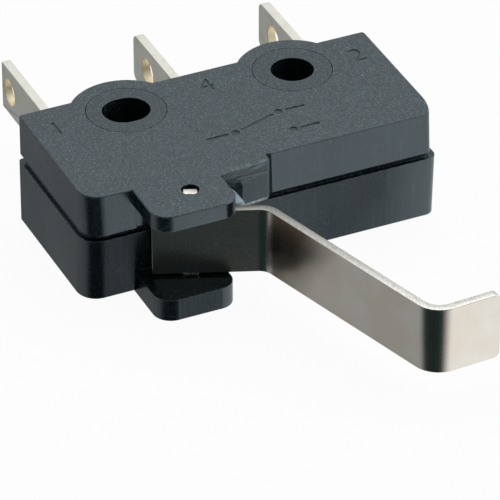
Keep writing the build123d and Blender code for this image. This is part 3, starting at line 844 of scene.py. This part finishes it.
coverMarks = {
    "topMm": 6.4,
    "depthMm": 0.05,
    "strokeMm": 0.22,
    "dotTimes": 2.2,              # a dot's width in strokes
    "numerals": (("1", -13.45, -0.1), ("4", -4.75, 0.5), ("2", 3.7, -0.1)),     # X and Y of each middle, mm
    "numeralMm": 1.7,
    "numeralSteps": 4,            # points in each of a numeral's curves
    "endPoints": 9,               # points round each end of a stroke
    "symbolMm": (-3.9, -4.35),
    # the changeover sign: each stroke from X, Y to X, Y round its middle; a dot is a stroke with no length
    "strokes": ((-2.9, 0.0, -1.85, 0.0), (-1.35, 0.0, -1.35, 0.0), (-0.90, 0.15, 1.05, 0.78),
                (1.5, 0.93, 1.5, 0.93), (2.0, 0.93, 2.9, 0.93), (1.5, -0.93, 1.5, -0.93),
                (2.0, -0.93, 2.9, -0.93)),
    "flatDegrees": 0.4,
    "sharpDegrees": 32.0,
}


def strokePrism(name, x0, y0, x1, y1, halfWide, low, high):
    # a straight stroke with round ends: a half circle about each end, carried from low to high
    turn = math.atan2(y1 - y0, x1 - x0)
    half = np.linspace(-math.pi / 2, math.pi / 2, coverMarks["endPoints"])
    angles = np.concatenate([turn + half, turn + math.pi + half])
    ends = np.repeat([[x1, y1], [x0, y0]], len(half), axis=0)
    outline = ends + halfWide * np.stack([np.cos(angles), np.sin(angles)], 1)
    points = np.stack([np.column_stack([outline, np.full(len(outline), z)]) for z in (low, high)])
    return gridMesh(name, points)


def numeralPrism(text, x, y, low, high):
    # a numeral made a mesh first, then centred on its place and stretched from low to high
    curve = bpy.data.curves.new("numeral", "FONT")
    curve.body = text
    curve.size = coverMarks["numeralMm"]
    curve.extrude = 0.5      # only parts its two sides, which then move to low and high
    curve.resolution_u = coverMarks["numeralSteps"]
    source = bpy.data.objects.new("numeral", curve)
    bpy.context.scene.collection.objects.link(source)
    bpy.context.view_layer.update()
    mesh = bpy.data.meshes.new_from_object(source)
    bpy.data.objects.remove(source)
    flat = np.zeros(len(mesh.vertices) * 3)
    mesh.vertices.foreach_get("co", flat)
    flat = flat.reshape(-1, 3)
    middle = (flat.min(0) + flat.max(0)) / 2
    placed = np.column_stack([flat[:, :2] - middle[:2] + [x, y], np.where(flat[:, 2] > 0, high, low)]) * mm
    mesh.vertices.foreach_set("co", placed.reshape(-1))
    prism = bpy.data.objects.new("numeral" + text, mesh)
    bpy.context.scene.collection.objects.link(prism)
    return prism


def joinedCutter(prisms):
    # all marks in one closed mesh with outward faces
    bm = bmesh.new()
    for prism in prisms:
        bm.from_mesh(prism.data)
        bpy.data.objects.remove(prism)
    bmesh.ops.remove_doubles(bm, verts=bm.verts, dist=weldMm * mm)
    bmesh.ops.recalc_face_normals(bm, faces=bm.faces)
    mesh = bpy.data.meshes.new("markCutter")
    bm.to_mesh(mesh)
    bm.free()
    cutter = bpy.data.objects.new("markCutter", mesh)
    bpy.context.scene.collection.objects.link(cutter)
    return cutter


def makeMarkedCover():
    # a merged copy of the cover with generic terminal numerals and a changeover sign sunk into its top
    top, depth = coverMarks["topMm"], coverMarks["depthMm"]
    low, high = top - depth, top + depth
    centreX, centreY = coverMarks["symbolMm"]
    prisms = [numeralPrism(text, x, y, low, high) for text, x, y in coverMarks["numerals"]]
    for index, (x0, y0, x1, y1) in enumerate(coverMarks["strokes"]):
        half = coverMarks["strokeMm"] / 2
        if (x0, y0) == (x1, y1):
            half *= coverMarks["dotTimes"]
        prisms.append(strokePrism("stroke%d" % index, centreX + x0, centreY + y0, centreX + x1, centreY + y1,
                                  half, low, high))
    cutter = joinedCutter(prisms)
    piece = mergedCopy("cover", "markedCover", coverMarks["flatDegrees"])
    cut = piece.modifiers.new("sunkMarks", "BOOLEAN")
    cut.object = cutter
    cut.operation = "DIFFERENCE"
    cut.solver = "EXACT"
    bpy.context.view_layer.update()
    baked = bpy.data.meshes.new_from_object(piece.evaluated_get(bpy.context.evaluated_depsgraph_get()))
    piece.modifiers.clear()
    piece.data = baked
    bpy.data.objects.remove(cutter)
    shadeSmooth(piece, coverMarks["sharpDegrees"])
    assign([piece], coverPlastic)
    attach(piece, "case")
    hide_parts("cover")
    print("cover marks sunk:", len(baked.polygons), "faces")


makeMarkedCover()


plungerLook = {
    "colour": (0.42, 0.55, 0.62),
    "rubbedColour": (0.7, 0.78, 0.8),
    "cloudShade": 0.9,            # the darker clouds, times the colour
    "cloudMm": 0.8,
    "cloudBand": (0.35, 0.65),
    "wearMm": 0.05,
    "wearShare": 0.3,
    "fineMm": 0.06,
    "roughness": 0.28,
    "fineRoughness": 0.1,
    "glowShare": 0.15,
    "glowMm": 0.3,
    "reliefStrength": 0.2,
    "reliefMm": 0.004,
}


def palePlastic():
    # smooth pale blue-grey moulding, slightly waxy, rubbed where the lever bears
    material, tree, shader, place = newMaterial("plungerPlastic")
    look = plungerLook
    cloud = noiseOf(tree, place, look["cloudMm"])
    fine = noiseOf(tree, place, look["fineMm"], 2.0)
    dark = scaled(look["colour"], look["cloudShade"])
    colour = mixColour(tree, remap(tree, cloud, *look["cloudBand"]), dark, look["colour"])
    worn = times(tree, edgeMask(tree, look["wearMm"]), look["wearShare"])
    colour = mixColour(tree, worn, colour, look["rubbedColour"])
    rough = plus(tree, times(tree, fine, look["fineRoughness"]), look["roughness"])
    shader.inputs["Subsurface Weight"].default_value = look["glowShare"]
    shader.inputs["Subsurface Scale"].default_value = look["glowMm"] * mm
    wireShader(tree, shader, colour, rough, fine, look["reliefStrength"], look["reliefMm"])
    return material


assign([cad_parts["plunger"]], palePlastic())
print("plunger finished")


terminalLook = {
    "silver": (0.92, 0.91, 0.84),
    "brass": (0.88, 0.79, 0.58),
    "tarnish": (0.74, 0.70, 0.58),
    "rubbedColour": (0.9, 0.88, 0.8),
    "cloudMm": 1.1,
    "cloudBand": (0.45, 0.75, 0.0, 0.55),
    "lineMm": 0.06,
    "lineStretch": (1.0, 0.04, 1.0),
    "lineBand": (0.4, 0.8, 0.0, 0.2),
    "wearMm": 0.05,
    "wearShare": 0.35,
    "roughness": 0.40,
    "cloudRoughness": 0.18,
    "eyeletRoughness": 0.12,
    "eyelets": {                  # node: eyelet centre in Y and Z, mm
        "common_terminal": (8.87, 3.2),
        "normally_open_terminal": (7.63, 3.2),
        "normally_closed_terminal": (7.81, 3.2),
    },
    # from the eyelet's centre: silver plate from the first on, bare brass up to the second
    "brassReachMm": (0.79, 0.765),
    "reliefStrength": 0.3,
    "reliefMm": 0.003,
    "bevelMm": 0.045,
    "bevelDegrees": 40,
    "flatDegrees": 0.6,
    "sharpDegrees": 32.0,
}


def platedBrass(name, eyelet):
    # silver plate over brass: rolling lines along the blade, tarnish clouds, bare brass in the punched eyelet
    material, tree, shader, place = newMaterial(name)
    look = terminalLook
    lines = noiseOf(tree, place, look["lineMm"], 3.0, 0.6, look["lineStretch"])
    cloud = noiseOf(tree, place, look["cloudMm"], 4.0, 0.6)
    x, y, z = splitOf(tree, place)
    offY = doMath(tree, "SUBTRACT", y, eyelet[0] * mm)
    offZ = doMath(tree, "SUBTRACT", z, eyelet[1] * mm)
    inEyelet = remap(tree, lengthOf(tree, offY, offZ), *(edge * mm for edge in look["brassReachMm"]))
    colour = mixColour(tree, remap(tree, cloud, *look["cloudBand"]), look["silver"], look["tarnish"])
    colour = mixColour(tree, remap(tree, lines, *look["lineBand"]), colour, look["tarnish"])
    worn = times(tree, edgeMask(tree, look["wearMm"]), look["wearShare"])
    colour = mixColour(tree, worn, colour, look["rubbedColour"])
    colour = mixColour(tree, inEyelet, colour, look["brass"])
    rough = plus(tree, times(tree, cloud, look["cloudRoughness"]), look["roughness"],
                 times(tree, inEyelet, look["eyeletRoughness"]))
    shader.inputs["Metallic"].default_value = 1.0
    wireShader(tree, shader, colour, rough, lines, look["reliefStrength"], look["reliefMm"])
    return material


def softCopy(nodeName, pieceName, body, material):
    # a merged copy of a CAD node with its flat triangles joined and its edges broken by a small bevel
    piece = mergedCopy(nodeName, pieceName, terminalLook["flatDegrees"])
    shadeSmooth(piece, terminalLook["sharpDegrees"])
    bevel = piece.modifiers.new("brokenEdges", "BEVEL")
    bevel.width = terminalLook["bevelMm"] * mm
    bevel.segments = 2
    bevel.limit_method = "ANGLE"
    bevel.angle_limit = math.radians(terminalLook["bevelDegrees"])
    bevel.harden_normals = True
    assign([piece], material)
    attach(piece, body)
    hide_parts(nodeName)


for nodeName, eyelet in terminalLook["eyelets"].items():
    short = nodeName.replace("_terminal", "").replace("normally_", "")
    softCopy(nodeName, short + "Blade", "case", platedBrass(short + "Plate", eyelet))
print("terminals made")


# the pieces inside; each finish has a colour, a roughness and a grain size in mm
innerLook = {
    "armBronze": ((0.72, 0.47, 0.27), 0.28, 0.06),
    "contactSilver": ((0.86, 0.85, 0.83), 0.22, 0.05),
    "springWire": ((0.58, 0.58, 0.59), 0.25, 0.04),
    "cloudGrains": 12,            # a cloud's size in grains
    "cloudBand": (0.35, 0.65),
    "cloudShade": 0.85,           # the darker clouds, times the colour
    "rubbedShade": 1.2,
    "wearMm": 0.04,
    "wearShare": 0.4,
    "grainRoughness": 0.12,
    "reliefStrength": 0.25,
    "reliefMm": 0.003,
    "springSharpDegrees": 65.0,
}


def plainMetal(name):
    # worked metal for the pieces inside: mottled colour, fine grain, brighter edges
    material, tree, shader, place = newMaterial(name)
    look = innerLook
    colour, roughness, grainMm = look[name]
    cloud = noiseOf(tree, place, grainMm * look["cloudGrains"])
    grain = noiseOf(tree, place, grainMm, 2.0)
    tint = mixColour(tree, remap(tree, cloud, *look["cloudBand"]), scaled(colour, look["cloudShade"]), colour)
    worn = times(tree, edgeMask(tree, look["wearMm"]), look["wearShare"])
    tint = mixColour(tree, worn, tint, scaled(colour, look["rubbedShade"]))
    rough = plus(tree, times(tree, grain, look["grainRoughness"]), roughness)
    shader.inputs["Metallic"].default_value = 1.0
    wireShader(tree, shader, tint, rough, grain, look["reliefStrength"], look["reliefMm"])
    return material


bronze = plainMetal("armBronze")
silver = plainMetal("contactSilver")
springWire = plainMetal("springWire")
rivets = ("moving_contact", "normally_open_contact", "normally_closed_contact")
assign([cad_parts[name] for name in ("contact_arm", "auxiliary_lever")], bronze)
assign([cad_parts[name] for name in rivets], silver)
assign([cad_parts["tension_spring"]], springWire)

# a merged, smooth-shaded copy of the spring with its transform baked in, left in place;
# its far loop hooks into the contact arm, which hardly moves
coilSpring = mergedCopy("tension_spring", "coilSpring")
shadeSmooth(coilSpring, innerLook["springSharpDegrees"])
assign([coilSpring], springWire)
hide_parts("tension_spring")
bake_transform(coilSpring)
print("inner pieces finished")
